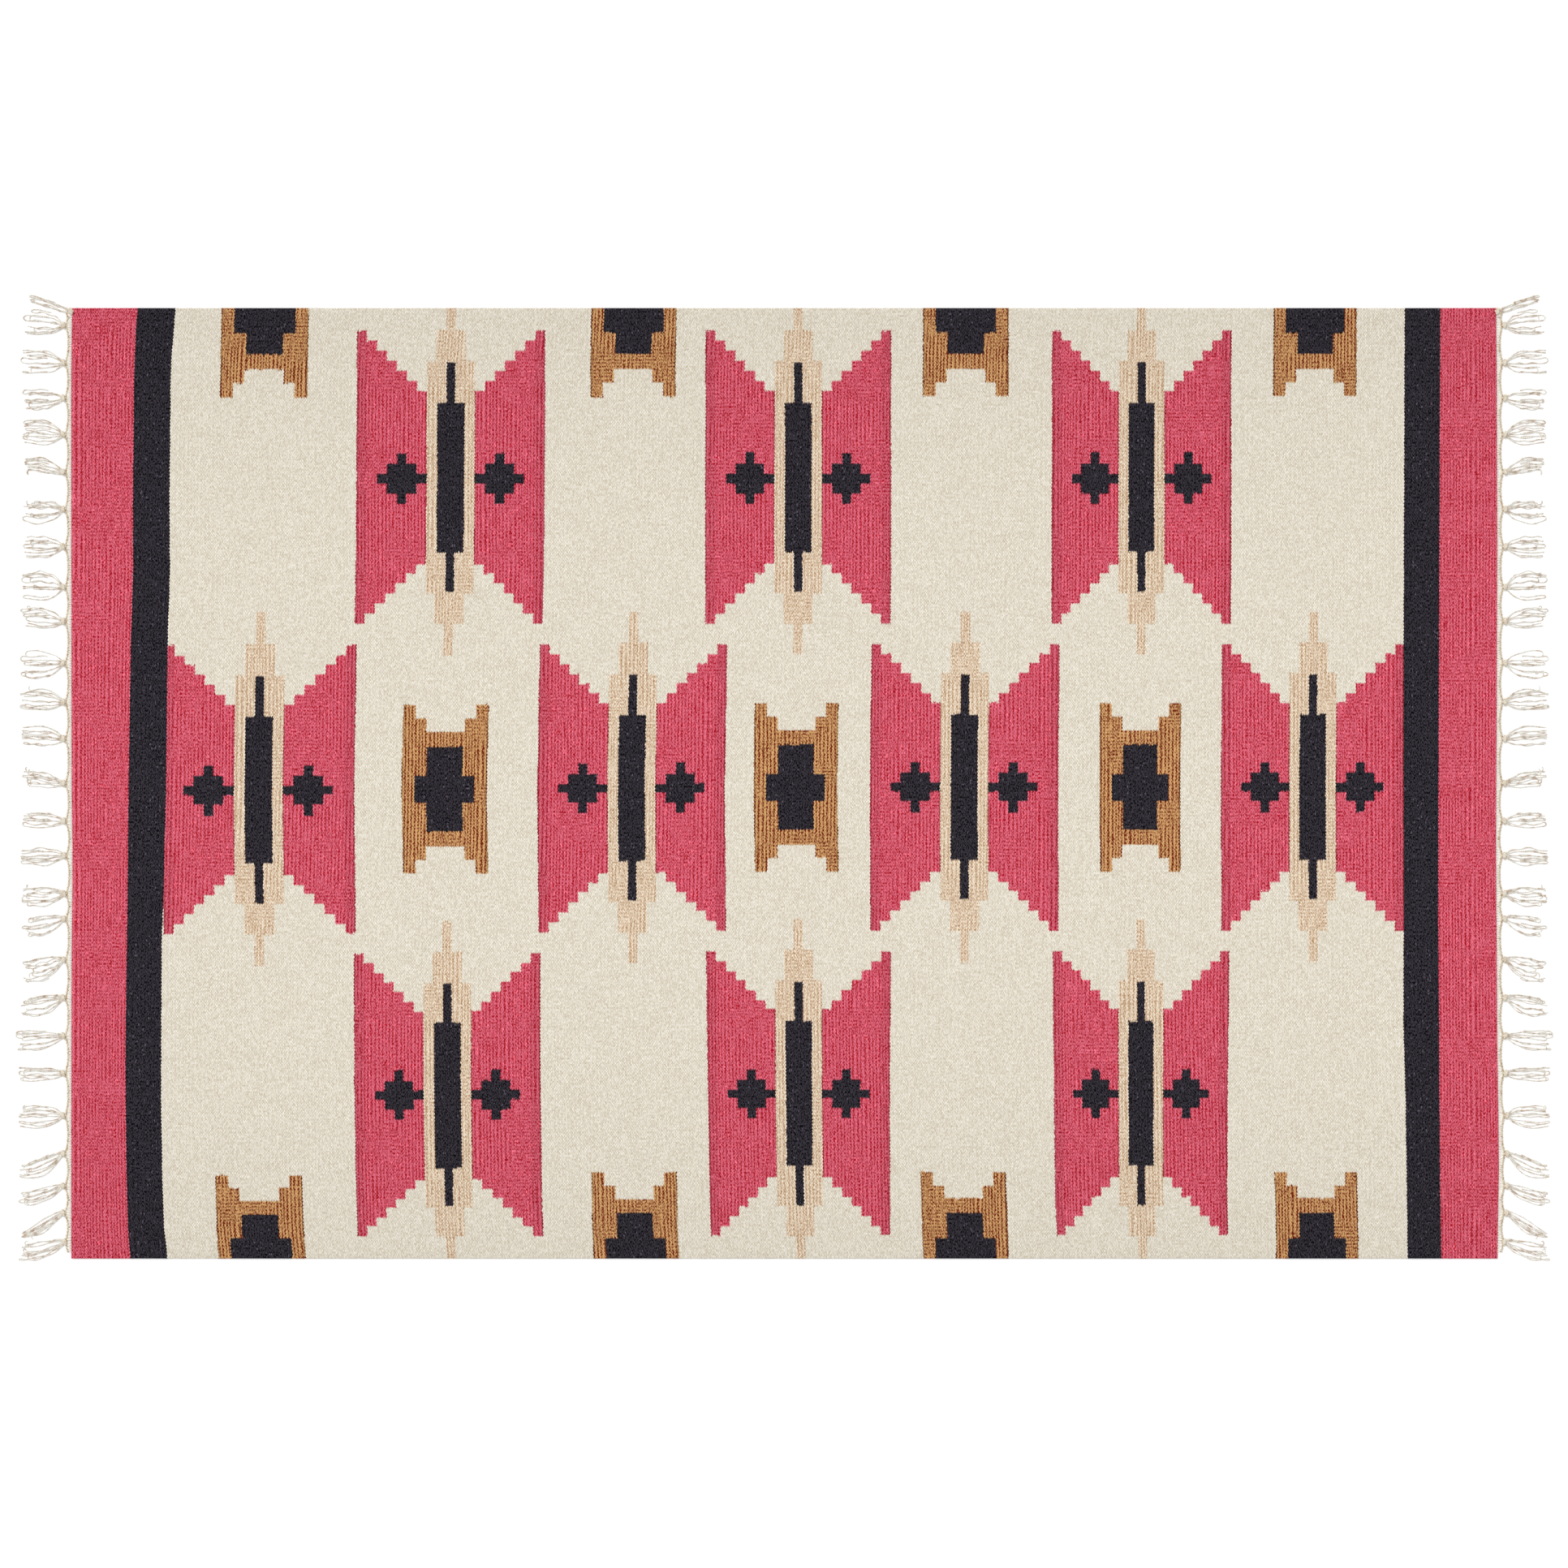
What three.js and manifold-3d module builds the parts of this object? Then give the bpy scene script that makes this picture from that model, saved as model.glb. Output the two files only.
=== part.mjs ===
// Flat-woven rug with a knotted fringe along each short end, lying on the floor.
//
// Millimetres. +X runs along the length, +Y across the width and +Z up. The origin is the
// middle of the cloth's underside, so everything rests on the plane z = 0.

import * as THREE from 'three';
import { mergeVertices } from 'three/addons/utils/BufferGeometryUtils.js';
import Module from 'manifold-3d';

const wasm = await Module();
wasm.setup();

// The woven cloth
const CLOTH = {
  length: 3000,
  width: 2000,
  thickness: 5,
  edgeRound: 1.2, // how far the selvedge and the ends are rounded off
};

// Each woven end wanders a little from a straight line. One row for each place across the
// width, as a share of half the width, with how far the end lies beyond (+) or short of (-)
// its nominal line there.
const END_WANDER = [
  { across: 1.0, left: -1.5, right: -2.0 },
  { across: 0.93, left: -0.4, right: -1.6 },
  { across: 0.85, left: 0.2, right: -1.0 },
  { across: 0.5, left: 0.2, right: 0.2 },
  { across: 0.2, left: -0.2, right: -0.8 },
  { across: -0.02, left: -0.6, right: -2.0 },
  { across: -0.13, left: -2.2, right: -2.4 },
  { across: -0.235, left: -2.0, right: -2.0 },
  { across: -0.34, left: -0.7, right: -1.0 },
  { across: -0.54, left: 0.0, right: 0.0 },
  { across: -0.7, left: 0.3, right: 2.6 },
  { across: -0.815, left: 0.2, right: 3.8 },
  { across: -0.905, left: 0.3, right: 1.9 },
  { across: -1.0, left: 0.2, right: 0.5 },
];

// The strip of gathered warps along each end, from which the knots hang
const STRIP = {
  gap: 0.3, // parts the strip from the cloth's end
  width: 8.5, // between two knots
  belly: 7, // how much further out the warps are drawn beside a knot
  bellyHalf: 16, // half the length of that belly, along the strip
  height: 4.5,
  endInset: 4, // from the cloth's long edges
};

// One overhand knot for each tassel
const KNOT = {
  out: 17.5, // from the cloth's end to the knot's middle
  halfAlong: 6.5, // along the strands
  halfAcross: 9.5,
  height: 8.5,
  sides: 8,
};

// The dome of a knot on its flat base: shares of its radius and of its height
const KNOT_PROFILE = [
  { radius: 0.0, height: 0.0 },
  { radius: 0.9, height: 0.0 },
  { radius: 1.0, height: 0.45 },
  { radius: 0.6, height: 1.0 },
  { radius: 0.0, height: 1.0 },
];

// The loose warp strands below a knot. Each is a three-sided ridge with its flat side down.
const STRAND = {
  perTassel: 5,
  width: 3.6,
  height: 3.2,
  steps: 4,
  rootDepth: 2, // from the knot's middle outwards to where a strand starts
  rootFan: 15.5, // over which the roots are spread across the knot
  leaveRun: 0.34, // share of a strand's run over which it leaves the knot in its own direction
  settleRun: 0.42, // share of its run over which it settles back along X
  ballooning: 0.55, // how much of a strand's sideways way is done when it starts to settle
  shortest: 9, // how much shorter than the longest strand of its tassel one may be
  jitter: 0.16, // share of the strands' spacing by which a tip lies off its even place
};

// One row for each tassel, from one long edge to the other.
//   knot   the knot's place across the width
//   tip    the middle of the tassel's tips, across the width
//   fan    how wide the tips are spread
//   reach  from the nominal end to the longest tip
const TASSELS = [
  { knot: 989, tip: 1021, fan: 34, reach: 91 },
  { knot: 962, tip: 966, fan: 38, reach: 98 },
  { knot: 885, tip: 888, fan: 50, reach: 103 },
  { knot: 811, tip: 806, fan: 40, reach: 100 },
  { knot: 734, tip: 741, fan: 52, reach: 100 },
  { knot: 655, tip: 671, fan: 34, reach: 99 },
  { knot: 577, tip: 574, fan: 46, reach: 101 },
  { knot: 498, tip: 500, fan: 44, reach: 101 },
  { knot: 413, tip: 418, fan: 54, reach: 103 },
  { knot: 341, tip: 352, fan: 48, reach: 106 },
  { knot: 253, tip: 249, fan: 54, reach: 105 },
  { knot: 171, tip: 176, fan: 46, reach: 108 },
  { knot: 94, tip: 102, fan: 40, reach: 105 },
  { knot: 0, tip: 13, fan: 31, reach: 103 },
  { knot: -79, tip: -75, fan: 36, reach: 101 },
  { knot: -152, tip: -156, fan: 34, reach: 106 },
  { knot: -232, tip: -239, fan: 40, reach: 103 },
  { knot: -285, tip: -302, fan: 48, reach: 103 },
  { knot: -371, tip: -393, fan: 54, reach: 101 },
  { knot: -451, tip: -470, fan: 48, reach: 108 },
  { knot: -531, tip: -542, fan: 48, reach: 115 },
  { knot: -610, tip: -610, fan: 28, reach: 111 },
  { knot: -699, tip: -702, fan: 48, reach: 110 },
  { knot: -779, tip: -813, fan: 50, reach: 110 },
  { knot: -847, tip: -873, fan: 28, reach: 110 },
  { knot: -907, tip: -939, fan: 26, reach: 105 },
  { knot: -965, tip: -988, fan: 46, reach: 110 },
];

const ENDS = {
  left: { side: -1, nodeName: 'fringe_left' },
  right: { side: 1, nodeName: 'fringe_right' },
};

const MATERIALS = {
  cloth: new THREE.MeshStandardMaterial({ color: 0xd9c9b4, roughness: 0.92, metalness: 0 }),
  warp: new THREE.MeshStandardMaterial({ color: 0xe8e3d9, roughness: 0.9, metalness: 0 }),
};

/** How far the named end lies from its nominal line at the place `y` across the width. */
function wanderAt(end, y) {
  const across = y / (CLOTH.width / 2);
  const last = END_WANDER.length - 1;
  const below = END_WANDER.findIndex((row) => row.across <= across);
  const lower = below < 0 ? last : Math.max(below, 1);
  const a = END_WANDER[lower - 1];
  const b = END_WANDER[lower];
  const share = THREE.MathUtils.clamp((a.across - across) / (a.across - b.across), 0, 1);
  return THREE.MathUtils.lerp(a[end], b[end], share);
}

/** X of a point that lies `out` beyond the nominal line of the named end. */
function endX(end, out) {
  return ENDS[end].side * (CLOTH.length / 2 + out);
}

/** A fixed value from -1 to 1 that looks random, for strand `j` of tassel `i`. */
function uneven(i, j) {
  const wave = Math.sin(i * 12.9898 + j * 78.233) * 43758.5453;
  return 2 * (wave - Math.floor(wave)) - 1;
}

/** A three.js geometry as a solid whose faces point outwards. */
function solidFrom(geometry) {
  geometry.deleteAttribute('normal');
  geometry.deleteAttribute('uv');
  const merged = mergeVertices(geometry);
  const triVerts = new Uint32Array(merged.index.array);
  const vertProperties = new Float32Array(merged.attributes.position.array);
  return new wasm.Manifold(new wasm.Mesh({ numProp: 3, vertProperties, triVerts }));
}

/** A solid as a three.js geometry. */
function geometryFrom(solid) {
  const mesh = solid.getMesh();
  const geometry = new THREE.BufferGeometry();
  geometry.setAttribute('position', new THREE.BufferAttribute(mesh.vertProperties, 3));
  geometry.setIndex(new THREE.BufferAttribute(mesh.triVerts, 1));
  geometry.computeVertexNormals();
  return geometry;
}

/** A plan outline raised to `height` from the floor. */
function raised(outline, height) {
  return new THREE.ExtrudeGeometry(new THREE.Shape(outline), {
    depth: height,
    bevelEnabled: false,
  });
}

/** The named end of the cloth as points from its +Y to its -Y corner. */
function clothEnd(end) {
  return END_WANDER.map(
    (row) => new THREE.Vector2(endX(end, row[end]), row.across * CLOTH.width / 2),
  );
}

/** The cloth: one flat sheet with slightly wandering ends and rounded edges. */
function clothGeometry() {
  const outline = [...clothEnd('left'), ...clothEnd('right').reverse()];
  const geometry = new THREE.ExtrudeGeometry(new THREE.Shape(outline), {
    depth: CLOTH.thickness - 2 * CLOTH.edgeRound,
    bevelEnabled: true,
    bevelThickness: CLOTH.edgeRound,
    bevelSize: CLOTH.edgeRound,
    bevelOffset: -CLOTH.edgeRound,
    bevelSegments: 2,
  });
  return geometry.translate(0, 0, CLOTH.edgeRound);
}

/** The strip of gathered warps: straight along the cloth, scalloped out to each knot. */
function stripGeometry(end) {
  const top = CLOTH.width / 2 - STRIP.endInset;
  const inner = END_WANDER
    .map((row) => THREE.MathUtils.clamp(row.across * CLOTH.width / 2, -top, top))
    .map((y) => new THREE.Vector2(endX(end, wanderAt(end, y) + STRIP.gap), y));
  const outer = scallopPlaces(top)
    .map(({ y, bulge }) => {
      const out = wanderAt(end, y) + STRIP.gap + STRIP.width + STRIP.belly * bulge;
      return new THREE.Vector2(endX(end, out), y);
    });
  return raised([...inner, ...outer.reverse()], STRIP.height);
}

/** Places along the strip's outer side, from +Y to -Y, and how far each one is bellied out. */
function scallopPlaces(top) {
  const places = [{ y: top, bulge: 0 }];
  for (const { knot } of TASSELS) {
    for (const [offset, bulge] of [[1, 0], [0.4, 1], [-0.4, 1], [-1, 0]]) {
      const y = knot + offset * STRIP.bellyHalf;
      const previous = places[places.length - 1].y;
      if (y < Math.min(previous - 1, top) && y > -top) places.push({ y, bulge });
    }
  }
  places.push({ y: -top, bulge: 0 });
  return places;
}

/** How far beyond the nominal end a tassel's knot lies. */
function knotOut(end, tassel) {
  return wanderAt(end, tassel.knot) + KNOT.out;
}

/** One knot: a low dome on a flat base. */
function knotGeometry(end, tassel) {
  const profile = KNOT_PROFILE.map((p) => new THREE.Vector2(p.radius, p.height));
  const geometry = new THREE.LatheGeometry(profile, KNOT.sides);
  geometry.rotateX(Math.PI / 2);
  geometry.scale(KNOT.halfAlong, KNOT.halfAcross, KNOT.height);
  return geometry.translate(endX(end, knotOut(end, tassel)), tassel.knot, 0);
}

/** The line that strand `j` of tassel `i` follows on the floor, from the knot to its tip. */
function strandLine(end, tassel, i, j) {
  const place = j / (STRAND.perTassel - 1) - 0.5;
  const spacing = tassel.fan / (STRAND.perTassel - 1);
  const rootOut = knotOut(end, tassel) + STRAND.rootDepth;
  const rootY = tassel.knot + place * STRAND.rootFan;
  const shorter = STRAND.shortest * Math.abs(uneven(i, j + 9));
  const tipOut = tassel.reach - shorter - STRAND.width / 2;
  const tipY = tassel.tip + place * tassel.fan + uneven(i, j) * STRAND.jitter * spacing;
  const run = tipOut - rootOut;
  const leaveY = rootY + (tipY - rootY) * STRAND.ballooning;
  return new THREE.CubicBezierCurve3(
    new THREE.Vector3(endX(end, rootOut), rootY, 0),
    new THREE.Vector3(endX(end, rootOut + run * STRAND.leaveRun), leaveY, 0),
    new THREE.Vector3(endX(end, tipOut - run * STRAND.settleRun), tipY, 0),
    new THREE.Vector3(endX(end, tipOut), tipY, 0),
  );
}

/** One strand: a three-sided ridge along its line, flat side on the floor. */
function strandGeometry(end, tassel, i, j) {
  // Along a line on the floor, the section's first coordinate points down and its second sideways.
  const section = new THREE.Shape([
    new THREE.Vector2(0, -STRAND.width / 2),
    new THREE.Vector2(0, STRAND.width / 2),
    new THREE.Vector2(-STRAND.height, 0),
  ]);
  return new THREE.ExtrudeGeometry(section, {
    steps: STRAND.steps,
    bevelEnabled: false,
    extrudePath: strandLine(end, tassel, i, j),
  });
}

/** The fringe of one end: the strip with its knots, and the strands fused to the knots. */
function fringeGeometry(end) {
  let fringe = solidFrom(stripGeometry(end));
  TASSELS.forEach((tassel, i) => {
    fringe = fringe.add(solidFrom(knotGeometry(end, tassel)));
    for (let j = 0; j < STRAND.perTassel; j += 1) {
      fringe = fringe.add(solidFrom(strandGeometry(end, tassel, i, j)));
    }
  });
  return geometryFrom(fringe);
}

/** A named piece of the rug. */
function piece(name, geometry, material) {
  const mesh = new THREE.Mesh(geometry, material);
  mesh.name = name;
  return mesh;
}

const group = new THREE.Group();
group.add(piece('cloth', clothGeometry(), MATERIALS.cloth));
for (const end of Object.keys(ENDS)) {
  group.add(piece(ENDS[end].nodeName, fringeGeometry(end), MATERIALS.warp));
}

export default group;
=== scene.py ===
"""Looks of a flat-woven rug with a charted pattern and a knotted fringe along each short end.

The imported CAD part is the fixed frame. The cloth and the two fringes are made again here, finer,
and stand for the CAD nodes. Sizes are in millimetres, and become metres where a piece is made.
"""

import logging
import math
import random
from collections.abc import Iterable, Sequence
from dataclasses import dataclass, replace
from enum import Enum

import bmesh
import bpy
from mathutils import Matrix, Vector

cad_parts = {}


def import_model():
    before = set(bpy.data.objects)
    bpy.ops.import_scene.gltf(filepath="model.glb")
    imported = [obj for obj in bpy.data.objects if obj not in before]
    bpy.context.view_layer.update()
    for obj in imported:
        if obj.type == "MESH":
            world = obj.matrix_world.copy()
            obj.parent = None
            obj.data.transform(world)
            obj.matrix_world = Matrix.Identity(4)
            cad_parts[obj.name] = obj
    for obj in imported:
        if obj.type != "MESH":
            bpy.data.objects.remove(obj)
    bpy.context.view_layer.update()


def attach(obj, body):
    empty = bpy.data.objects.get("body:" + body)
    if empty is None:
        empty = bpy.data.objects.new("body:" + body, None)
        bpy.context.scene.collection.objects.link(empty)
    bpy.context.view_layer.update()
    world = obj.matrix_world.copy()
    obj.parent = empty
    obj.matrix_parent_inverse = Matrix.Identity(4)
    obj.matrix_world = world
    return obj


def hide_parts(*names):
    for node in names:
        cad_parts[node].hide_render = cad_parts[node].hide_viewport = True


LOG = logging.getLogger("rug")
MM = 0.001

Socket = bpy.types.NodeSocket
Point = tuple[float, float, float]


class End(Enum):
    """The two short ends of the rug, by the side of the origin they lie on."""

    LEFT = -1
    RIGHT = 1

    @property
    def label(self) -> str:
        """Name used in piece and node names."""
        return self.name.lower()


@dataclass(frozen=True)
class Profile:
    """A line through given stations.

    Attributes:
        stations: (place, value) pairs in rising order of place.
    """

    stations: tuple[tuple[float, float], ...]

    @classmethod
    def through(cls, *stations: tuple[float, float]) -> "Profile":
        """A line through (place, value) pairs, in rising order of place."""
        return cls(stations)

    def at(self, place: float) -> float:
        """Read the line, which stays level beyond its first and last station.

        Args:
            place: Where to read it.

        Returns:
            The value there.
        """
        previous = self.stations[0]
        for station in self.stations:
            if place < station[0]:
                share = (place - previous[0]) / max(station[0] - previous[0], 1e-9)
                return previous[1] + (station[1] - previous[1]) * max(share, 0.0)
            previous = station
        return previous[1]


@dataclass(frozen=True)
class Cloth:
    """Sizes of the woven cloth.

    Attributes:
        length: Between the two woven ends, along X.
        width: Between the two selvedges, along Y.
        thickness: Through the weave.
        edge_round: How far the rim is rounded off.
        warp_pitch: Spacing of the warps, which run along X.
        pick_pitch: Usual spacing of the picks of weft, which run along Y.
    """

    length: float = 3000.0
    width: float = 2000.0
    thickness: float = 5.0
    edge_round: float = 2.0
    warp_pitch: float = 3.55
    pick_pitch: float = 1.7


CLOTH = Cloth()

# How far each woven end lies beyond (+) or short of (-) its nominal line, along the width.
END_WANDER = {
    End.LEFT: Profile.through(
        (-1000, 0.2), (-905, 0.3), (-815, 0.2), (-700, 0.3), (-540, 0.0), (-340, -0.7),
        (-235, -2.0), (-130, -2.2), (-20, -0.6), (200, -0.2), (500, 0.2), (850, 0.2), (930, -0.4),
        (1000, -1.5),
    ),
    End.RIGHT: Profile.through(
        (-1000, 0.5), (-905, 1.9), (-815, 3.8), (-700, 2.6), (-540, 0.0), (-340, -1.0),
        (-235, -2.0), (-130, -2.4), (-20, -2.0), (200, -0.8), (500, 0.2), (850, -1.0), (930, -1.6),
        (1000, -2.0),
    ),
}


@dataclass(frozen=True)
class EndBands:
    """The pink and the black band at one end, as distances from the middle of the rug.

    Attributes:
        pink_from: Inner edge of the outer, pink band, along the width.
        black_from: Inner edge of the black band, along the width.
    """

    pink_from: Profile
    black_from: Profile


BANDS = {
    End.LEFT: EndBands(
        pink_from=Profile.through(
            (-1000, 1377), (-930, 1382), (-820, 1385), (-650, 1387.5), (-500, 1387), (-330, 1384),
            (0, 1380.5), (300, 1376), (450, 1371), (600, 1371.5), (850, 1369), (960, 1365),
            (1000, 1361.5),
        ),
        black_from=Profile.through(
            (-1000, 1298), (-930, 1306), (-820, 1309.5), (-650, 1312), (-330, 1310.5), (-240, 1307),
            (0, 1301), (300, 1298), (450, 1293), (600, 1294), (850, 1291.5), (900, 1289.5),
            (960, 1284), (1000, 1281.5),
        ),
    ),
    End.RIGHT: EndBands(
        pink_from=Profile.through(
            (-1000, 1383), (-850, 1380.5), (-650, 1379), (-500, 1378.5), (-280, 1376.5),
            (200, 1378), (1000, 1381),
        ),
        black_from=Profile.through(
            (-1000, 1312.5), (-850, 1310.5), (-650, 1307.5), (-500, 1303), (-280, 1304),
            (200, 1303), (1000, 1306),
        ),
    ),
}


class WeaveMap:
    """Turns places on the cloth into thread numbers.

    Picks are counted from the middle towards the right end and warps from the middle upwards.
    The picks lie along the edges of the end bands, as woven stripes do, so they bow a little.
    """

    END_PICK = 882.0
    PINK_PICK = 810.0
    BLACK_PICK = 766.0

    def stations(self, y: float) -> list[tuple[float, float]]:
        """Places along the length whose pick numbers are known.

        Args:
            y: Place across the width.

        Returns:
            (x, pick) pairs in rising order of x.
        """
        found = []
        for end in End:
            side = end.value
            bands = BANDS[end]
            found += [
                (side * (CLOTH.length / 2 + END_WANDER[end].at(y)), side * self.END_PICK),
                (side * bands.pink_from.at(y), side * self.PINK_PICK),
                (side * bands.black_from.at(y), side * self.BLACK_PICK),
            ]
        return sorted(found)

    def pick(self, x: float, y: float) -> float:
        """Pick number at a place on the cloth."""
        return Profile.through(*self.stations(y)).at(x)

    def warp(self, y: float) -> float:
        """Warp number at a place across the width."""
        return y / CLOTH.warp_pitch


@dataclass(frozen=True)
class Column:
    """A column of woven figures.

    Attributes:
        centre: The middle of its figures along the length, along the width.
        unit: Size of one unit of its chart, along the width.
    """

    centre: Profile
    unit: Profile


@dataclass(frozen=True)
class Chart:
    """Places on the cloth as places in the weaver's chart.

    Figures of one kind of column repeat every `REPEAT` units along the length. Heights in the
    chart are in nominal millimetres from its middle row.
    """

    REPEAT = 36.0
    FIGURE_HALF = 9.5

    columns: tuple[Column, ...]

    def across(self, x: float, y: float) -> float:
        """Chart units along the length: 0 at the first column's middle.

        Args:
            x: Place along the length.
            y: Place across the width.

        Returns:
            The unit, level beyond half a repeat outside the first and the last column.
        """
        stations = []
        for number, column in enumerate(self.columns):
            centre, unit = column.centre.at(y), column.unit.at(y)
            middle = self.REPEAT * number
            half = self.FIGURE_HALF
            stations += [(centre - half * unit, middle - half)]
            stations += [(centre + half * unit, middle + half)]
            if number == 0:
                half = self.REPEAT / 2
                stations.insert(0, (centre - half * unit, middle - half))
            if number == len(self.columns) - 1:
                half = self.REPEAT / 2
                stations.append((centre + half * unit, middle + half))
        return Profile.through(*stations).at(x)


# Columns with a winged figure in the middle row and a ladder at each long edge
ODD_COLUMNS = Chart(
    (
        Column(
            Profile.through(
                (-1000, -1098.5), (-940, -1102.5), (-800, -1106.5), (-300, -1104), (-10, -1107),
                (280, -1102), (845, -1095), (1000, -1092),
            ),
            Profile.through((0, 21.2)),
        ),
        Column(
            Profile.through(
                (-1000, -311), (-940, -314), (-830, -316), (-300, -319.5), (-10, -322), (280, -317),
                (845, -318.5), (1000, -316.5),
            ),
            Profile.through((0, 20.7)),
        ),
        Column(
            Profile.through(
                (-1000, 382), (-940, 380.5), (-830, 376), (-300, 379), (-10, 378), (280, 381),
                (1000, 382),
            ),
            Profile.through((0, 20.8)),
        ),
        Column(
            Profile.through(
                (-1000, 1121), (-940, 1121), (-830, 1118), (-300, 1112), (-10, 1111), (280, 1113),
                (1000, 1117),
            ),
            Profile.through((-900, 20.0), (-300, 20.2)),
        ),
    )
)

# Columns with a ladder in the middle row and a winged figure above and below it
EVEN_COLUMNS = Chart(
    (
        Column(
            Profile.through(
                (-1000, -700.5), (-880, -705), (-640, -709), (-370, -709), (-10, -716), (420, -704),
                (640, -702), (945, -701), (1000, -700),
            ),
            Profile.through((-900, 20.5), (-400, 20.6), (300, 20.8)),
        ),
        Column(
            Profile.through(
                (-1000, 35), (-940, 34), (-640, 30.5), (-370, 30), (-10, 23), (350, 29),
                (1000, 29.5),
            ),
            Profile.through((-950, 19.8), (-640, 20.1), (-370, 20.4), (-10, 20.3), (400, 20.5)),
        ),
        Column(
            Profile.through(
                (-1000, 755), (-940, 753), (-880, 751), (-640, 750), (-370, 750.5), (-10, 748),
                (350, 751), (1000, 752),
            ),
            Profile.through((-950, 18.9), (-640, 19.2), (-370, 19.5), (400, 19.8)),
        ),
    )
)


class Rows:
    """Height in the chart of a place on the cloth.

    The beat of the weft was a little uneven, so the rows lie lower towards the left end.
    """

    LEFT_AT = -1100.0
    MIDDLE = Profile.through(
        (-1000, -1002), (-951.5, -951), (-817, -814), (-653, -648), (-352.5, -345), (-309.5, -303),
        (-8, 0), (294, 303), (337, 345), (641, 648), (813.5, 814), (952, 951), (1000, 1003),
    )
    LEFT = Profile.through(
        (-1000, -999), (-953, -951), (-824.5, -814), (-656.5, -648), (-360, -345), (-317, -303),
        (-15.5, 0), (290.5, 303), (336.5, 345), (640, 648), (811.5, 814), (952, 951), (1000, 1003),
    )

    @classmethod
    def at(cls, x: float, y: float) -> float:
        """Nominal height above the chart's middle row at a place on the cloth."""
        lean = min(max(x / cls.LEFT_AT, 0.0), 1.0)
        return cls.MIDDLE.at(y) * (1 - lean) + cls.LEFT.at(y) * lean


@dataclass(frozen=True)
class Layer:
    """One colour of a woven figure: half-heights in steps outwards from its middle line.

    Attributes:
        steps: (outer edge in chart units, half-height in millimetres) pairs, inmost first.
    """

    steps: tuple[tuple[float, float], ...]

    def half_height(self, unit: float) -> float:
        """Read the half-height of the colour.

        Args:
            unit: Distance from the middle line, in chart units.

        Returns:
            The half-height just outside that distance, in millimetres.
        """
        for edge, height in self.steps:
            if unit < edge:
                return height
        return 0.0


@dataclass(frozen=True)
class Figure:
    """A woven figure, the same on both sides of its middle line and above and below its middle.

    Attributes:
        ground: The widest colour.
        body: A second colour over it.
        dark: The darkest colour, over both.
        rims: (from, to, depth) of the picks that look deeper, most of all beside another colour:
            chart units, and a share.
    """

    ground: Layer
    body: Layer
    dark: Layer
    rims: tuple[tuple[float, float, float], ...]

    def edges(self) -> list[float]:
        """List where anything changes.

        Returns:
            Distances from the middle line, nearest first.
        """
        layers = (self.ground, self.body, self.dark)
        places = {0.0} | {edge for layer in layers for edge, _ in layer.steps}
        return sorted(places | {place for rim in self.rims for place in rim[:2]})

    def depth(self, unit: float) -> float:
        """How deep the picks look just outside a distance from the middle line."""
        return max((rim[2] for rim in self.rims if rim[0] <= unit < rim[1]), default=0.0)


# Stepped pink wings on a stepped tan stem, with a dark bar on the stem and a cross on each wing
WINGED = Figure(
    ground=Layer(
        (
            (2.42, 0), (3.43, 179), (4.44, 199.5), (5.46, 220),
            (6.47, 241), (7.48, 261.5), (8.49, 282), (9.5, 303),
        )
    ),
    body=Layer(((0.45, 369), (1.46, 305), (2.42, 240))),
    dark=Layer(
        (
            (0.4, 238), (1.35, 154), (2.42, 0), (3.47, 9.6),
            (4.49, 30.7), (5.41, 53), (6.43, 30.7), (7.4, 9.6),
        )
    ),
    rims=((2.42, 2.53, 1.0), (8.49, 9.34, 0.3), (9.34, 9.5, 1.0)),
)

# Two stepped brown posts joined by rungs, with a dark stepped cross between them
LADDER = Figure(
    ground=Layer(((1.92, 121), (3.03, 149), (4.33, 178))),
    body=Layer(()),
    dark=Layer(((1.83, 90), (3.03, 28.5))),
    rims=((4.17, 4.33, 1.0),),
)

# The ladders that the long edges cut through have longer arms, most of all at the upper edge
UPPER_LADDER = replace(LADDER, dark=Layer(((1.83, 90), (3.03, 45))))
LOWER_LADDER = replace(LADDER, dark=Layer(((1.83, 90), (3.03, 36))))

WINGED_ROW = 648.0  # height in the chart of the even columns' winged figures
LADDER_ROW = 992.0  # height in the chart of the odd columns' ladders


@dataclass(frozen=True)
class Yarn:
    """One dyed weft yarn. Colours are sRGB shares.

    Attributes:
        name: What it is called in the material.
        dark: Its darkest streaks.
        light: Its lightest streaks.
        bead: How far it varies from one bead of the weave to the next.
        streak: How far it varies from pick to pick.
        mottle: How far it varies over a hand's width.
        grain: How far it varies within a bead.
        deeper: How much darker its tone is painted in the pits between its beads, and lighter on
            their crowns: painted shade and painted highlight.
        fleck_share: Share of the beads that are flecks.
        fleck: How much lighter (+) or darker (-) a fleck is, as a share.
        gap: How dark the pits between its beads are painted: painted shade.
    """

    name: str
    dark: tuple[float, float, float]
    light: tuple[float, float, float]
    bead: float
    streak: float
    mottle: float
    grain: float
    deeper: float
    fleck_share: float
    fleck: float
    gap: float

    def layers(self) -> dict[str, tuple[float, ...]]:
        """Its looks as the colours and triples that the material mixes."""
        return {
            "dark": linear(self.dark),
            "light": linear(self.light),
            "broad": (self.bead, self.streak, self.mottle, 1.0),
            "fine": (self.grain, self.deeper, self.gap, 1.0),
            "fleck": (self.fleck_share, self.fleck, 0.0, 1.0),
        }


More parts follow.
